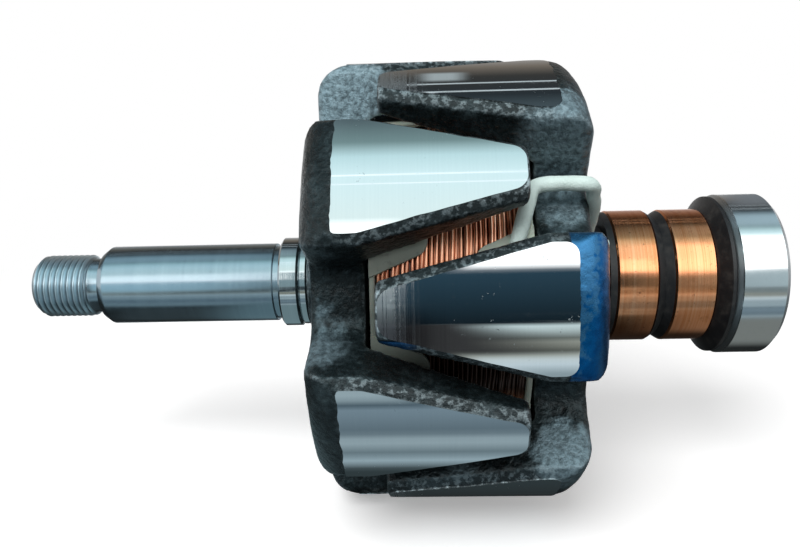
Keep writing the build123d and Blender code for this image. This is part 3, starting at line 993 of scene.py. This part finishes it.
# studio: a white table, a soft key light, and a banded tent round the shaft that only reflections see
studio = {
    "table": ((0.93, 0.93, 0.93), (0.95, 0.95, 0.95)),
    "tableHalf": 6000,
    "tableLift": 0.32,  # white added where the table is seen
    "fade": (85, 270),  # mm from the poles, from shadowed table to plain white
    "fadeSqueeze": 0.67,  # along the shaft, so that the shadow has room
    "fill": (0.14, 0.5),  # room light from below and from above
    "fillHeight": (-0.3, 0.5),
    "key": {"place": (-120, -430, 560), "aim": (40, 0, 0), "size": 460, "watts": 4.2},
    "tentRadius": 700,
    "tentLength": 1500,
    "tentSteps": 64,
    "tentEnd": 178,  # degrees round from the front
    "card": 0.6,  # height of the tent's grey card over the table
    "cardRows": (500, 200, 100, 50, 0, -50, -100, -200, -400),
    # brightness and tint of the tent by degrees round from the front, up over the top
    "bands": (
        (-152, 0.5, (0.9, 1, 1.04)), (-128, 0.02, (0.9, 1, 1)), (-72, 0.02, (0.9, 1, 1)),
        (-49.5, 0.06, (0.7, 1, 1.1)), (-46, 0.55, (0.76, 1, 1.12)), (-44.2, 0.2, (0.7, 1, 1.15)),
        (-40, 0.52, (0.78, 1, 1.1)), (-37.5, 0.19, (0.7, 1, 1.2)), (-31, 0.31, (0.72, 1, 1.2)),
        (-29.4, 0.13, (0.65, 1, 1.25)), (-27.5, 0.5, (0.78, 1, 1.1)), (-21, 0.42, (0.78, 1, 1.1)),
        (-17.6, 0.9, (0.85, 1, 1.08)), (-15.7, 0.6, (0.92, 1, 0.94)), (-13.8, 0.12, (0.9, 1, 0.82)),
        (-11.8, 0.48, (0.96, 1, 0.88)), (-9.8, 0.2, (0.87, 1, 0.94)), (-6, 0.85, (0.83, 1, 1.02)),
        (-4.8, 0.85, (0.83, 1, 1.02)), (-4.4, 0.018, (0.5, 1, 1.4)), (19.4, 0.07, (0.42, 1, 1.5)),
        (23.0, 2.2, (1, 1, 1)), (40, 2.0, (0.95, 1, 1)), (45, 1.2, (0.84, 1, 1)),
        (66, 1.2, (0.77, 1, 1.04)), (76, 1.0, (0.71, 1, 1.05)), (84, 0.36, (0.65, 1, 1.03)),
        (100, 0.14, (0.7, 1, 1.15)), (115, 0.04, (0.75, 1, 1.2)), (134, 0.05, (1, 1, 0.97)),
        (148, 0.18, (1.16, 1, 0.84)), (180, 0.5, (1, 1, 1)),
    ),
    "peak": 2.2,
    # thin bright tubes, as degrees round, half width and brightness
    "tubes": ((118.8, 0.8, 0.8), (126.6, 0.8, 0.7), (66.0, 0.5, 1.5), (61.5, 0.35, 1.42)),
    "tubeTint": (0.88, 1.0, 1.06),
    # cards hung in the tent: a rising and a falling edge in mm along the shaft, the same in degrees
    # round it, and the card's light
    "cards": (
        ((None, (-230, -30)), ((-5, -3), (19, 21)), (0.46, 0.58, 0.62)),  # in front, to the left
        (((230, 430), None), ((-5, -3), (19, 21)), (0.46, 0.58, 0.62)),  # in front, to the right
        ((None, (-260, -150)), ((-5, -3), (19, 21)), (0.6, 0.86, 0.98)),  # in front, far left
        ((None, (-230, -30)), ((78, 92), (100, 116)), (0.42, 0.58, 0.66)),  # above, to the left
        (((230, 430), None), ((78, 92), (100, 116)), (0.42, 0.58, 0.66)),  # above, to the right
        (((95, 125), None), ((-100, -75), (-46, -38)), (0.22, 0.24, 0.23)),  # under the slip rings
        (((370, 410), None), ((122, 136), None), (0.2, 0.22, 0.24)),  # behind, to the right
        (((200, 260), None), ((-13, -10), (-5, -3)), (0.2, 0.25, 0.26)),  # before the bearing
        (((-40, -5), (52, 125)), ((-16.5, -13.5), (-4.6, -4.2)), (0.045, 0.046, 0.048)),  # before the poles
        (((26, 52), (68, 94)), ((128, 132), (138, 142)), (0.42, 0.48, 0.5)),  # a patch behind
        (((-72, -58), (-20, 10)), ((-120, -100), (-62, -54)), (0.06, 0.075, 0.08)),  # under the shaft
        (((-38, -14), (4, 18)), ((-125, -110), (-46, -40)), (0.2, 0.29, 0.32)),  # under the collar
        (((-152, -140), (-100, -84)), ((0, 5), (37, 43)), (0.27, 0.39, 0.43)),  # before the collar
        (((-146, -136), (-70, -50)), ((-14, -9), (0, 5)), (0.04, 0.055, 0.065)),  # below that
    ),
    # one bright card at the right, whose lower edge climbs
    "slant": {
        "along": (290, 350),
        "rise": (11, 22),
        "fall": (62, 74),
        "climb": 0.08,  # degrees for each mm
        "from": 344,
        "light": (2.3, 2.4, 2.4),
    },
}


def tentFinish():
    sheet = Finish("bandedTent")
    peak = studio["peak"]
    places = [(angle + 180) / 360 for angle, level, tint in studio["bands"]]
    tints = [tuple(level * tone / peak for tone in tint) for angle, level, tint in studio["bands"]]
    light = sheet.ramp((sheet.turn + 180) * (1 / 360), places, tints)
    for angle, half, level in studio["tubes"]:
        stripe = 1 - abs(sheet.turn - angle).step(half * 0.5, half)
        light = sheet.blend(stripe, light, tuple(level * tone / peak for tone in studio["tubeTint"]))
    for along, about, tint in studio["cards"]:
        mask = sheet.x.within(*along) * sheet.turn.within(*about)
        light = sheet.blend(mask, light, tuple(tone / peak for tone in tint))
    slant = studio["slant"]
    edge = sheet.turn - slant["climb"] * (sheet.x - slant["from"])
    mask = sheet.x.step(*slant["along"]) * edge.step(*slant["rise"]) * (1 - sheet.turn.step(*slant["fall"]))
    light = sheet.blend(mask, light, tuple(tone / peak for tone in slant["light"]))
    return sheet.show(sheet.glow(light, peak))


def tableFinish():
    # white with the rotor's own shadow near it, plain white further off
    sheet = Finish("paleTable")
    white = (1, 1, 1)
    tint = sheet.blend(sheet.grain(0.01, 2), *studio["table"])
    plain = sheet.node("ShaderNodeBsdfDiffuse", {}, {"Color": tint})
    lifted = sheet.node("ShaderNodeAddShader", {}, {0: plain, 1: sheet.glow(white, studio["tableLift"])})
    near = sheet.node("ShaderNodeMixShader", {}, {0: sheet.seen(), 1: plain, 2: lifted})
    squeeze = studio["fadeSqueeze"]
    sockets = {0: sheet.spot, 1: (squeeze, 1, 0)}
    flat = sheet.node("ShaderNodeVectorMath", {"operation": "MULTIPLY"}, sockets)
    fade = sheet.farFrom(flat, (pole["centre"] * squeeze, 0, 0)).step(*studio["fade"])
    return sheet.show(sheet.node("ShaderNodeMixShader", {}, {0: fade, 1: near, 2: sheet.glow(white)}))


def stageMesh(name, points, faces, material):
    mesh = bpy.data.meshes.new(name)
    mesh.from_pydata([Vector(point) * mm for point in points], [], faces)
    mesh.materials.append(material)
    made = bpy.data.objects.new(name, mesh)
    bpy.context.scene.collection.objects.link(made)
    return made


def setTent(low):
    # a card over the table, then an arc over the rotor from front to back
    outer = studio["tentRadius"]
    floor = low + studio["card"]
    line = [(y, floor) for y in studio["cardRows"]]
    first = math.degrees(math.asin(floor / outer))
    for step in range(studio["tentSteps"] + 1):
        turn = math.radians(first + (studio["tentEnd"] - first) * step / studio["tentSteps"])
        line.append((-outer * math.cos(turn), outer * math.sin(turn)))
    points = []
    for x in (-studio["tentLength"], studio["tentLength"]):
        points += [(x, y, z) for y, z in line]
    count = len(line)
    faces = [(i, i + 1, count + i + 1, count + i) for i in range(count - 1)]
    tent = stageMesh("tent", points, faces, tentFinish())
    tent.visible_camera = False
    tent.visible_diffuse = False
    tent.visible_shadow = False
    tent.visible_transmission = False


def setKey():
    key = studio["key"]
    lamp = bpy.data.lights.new("key", "AREA")
    lamp.shape = "DISK"
    lamp.size = key["size"] * mm
    lamp.energy = key["watts"]
    keyLight = bpy.data.objects.new("key", lamp)
    keyLight.location = Vector(key["place"]) * mm
    aim = Vector(key["aim"]) * mm - keyLight.location
    keyLight.rotation_euler = aim.to_track_quat("-Z", "Y").to_euler()
    keyLight.visible_camera = False
    keyLight.visible_glossy = False
    bpy.context.scene.collection.objects.link(keyLight)


def setRoom():
    # plain white where it is seen, a softer fill everywhere else
    room = bpy.data.worlds.new("room")
    bpy.context.scene.world = room
    sheet = Finish("room", room)
    direction = sheet.node("ShaderNodeTexCoord", out="Generated")
    height = sheet.node("ShaderNodeSeparateXYZ", sockets={0: direction}, out="Z")
    sockets = {"Value": height}
    sockets.update(zip(("From Min", "From Max"), studio["fillHeight"]))
    sockets.update(zip(("To Min", "To Max"), studio["fill"]))
    level = sheet.node("ShaderNodeMapRange", {}, sockets)
    fill = sheet.node("ShaderNodeBackground", {}, {"Color": level})
    white = sheet.node("ShaderNodeBackground", {}, {"Color": (1, 1, 1, 1)})
    shader = sheet.node("ShaderNodeMixShader", {}, {0: sheet.seen(), 1: fill, 2: white})
    sheet.show(shader, "ShaderNodeOutputWorld")


def setStudio():
    low = cadBox[0].z / mm
    half = studio["tableHalf"]
    corners = [(-half, -half, low), (half, -half, low), (half, half, low), (-half, half, low)]
    table = stageMesh("table", corners, [(0, 1, 2, 3)], tableFinish())
    table.visible_diffuse = False
    setTent(low)
    setKey()
    setRoom()
    bpy.context.scene.view_settings.view_transform = "Standard"
    print("studio lit")


setStudio()
